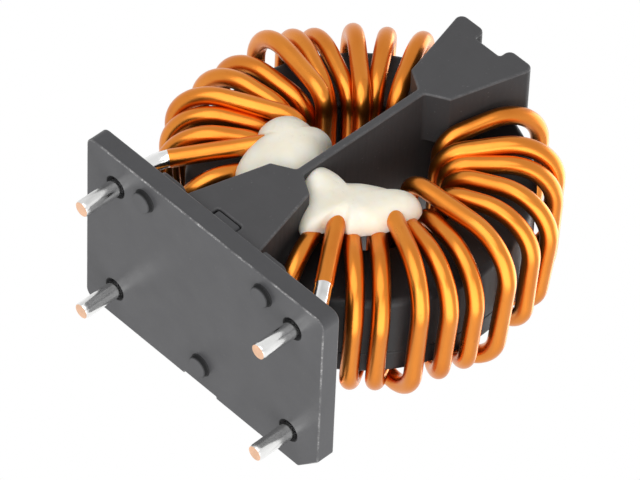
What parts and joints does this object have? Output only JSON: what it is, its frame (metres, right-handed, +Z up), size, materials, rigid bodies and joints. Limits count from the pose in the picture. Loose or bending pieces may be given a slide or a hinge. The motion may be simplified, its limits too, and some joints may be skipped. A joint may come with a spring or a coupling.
{
  "type": "inductor",
  "caption": "Upright common-mode choke: cased ring core with thick copper windings, a moulded separator and a flat base plate with wire pins for a circuit board.",
  "frame": {"origin": "middle of the pin pattern on the seating plane, the undersides of the feet", "axes": "+Z up away from the board, X along the base plate's long side, Y along the ring's axis with -Y on the side of the separator's blocks"},
  "size_m": [0.0491, 0.027, 0.053],
  "materials": {
    "plate_plastic": "moulded, slightly glossy",
    "separator_plastic": "moulded, matt",
    "case_plastic": "moulded, matt",
    "ferrite": "sintered, dull",
    "enamelled_copper": "clear enamel over copper, tinned at the ends",
    "adhesive": "smooth, soft gloss"
  },
  "bodies": {
    "root": {"base_plate": "plate_plastic", "separator": "separator_plastic", "case_cup": "case_plastic", "case_lid": "case_plastic", "ferrite_core": "ferrite", "winding_left": "enamelled_copper", "winding_right": "enamelled_copper", "glue_left": "adhesive", "glue_right": "adhesive"}
  },
  "joints": []
}
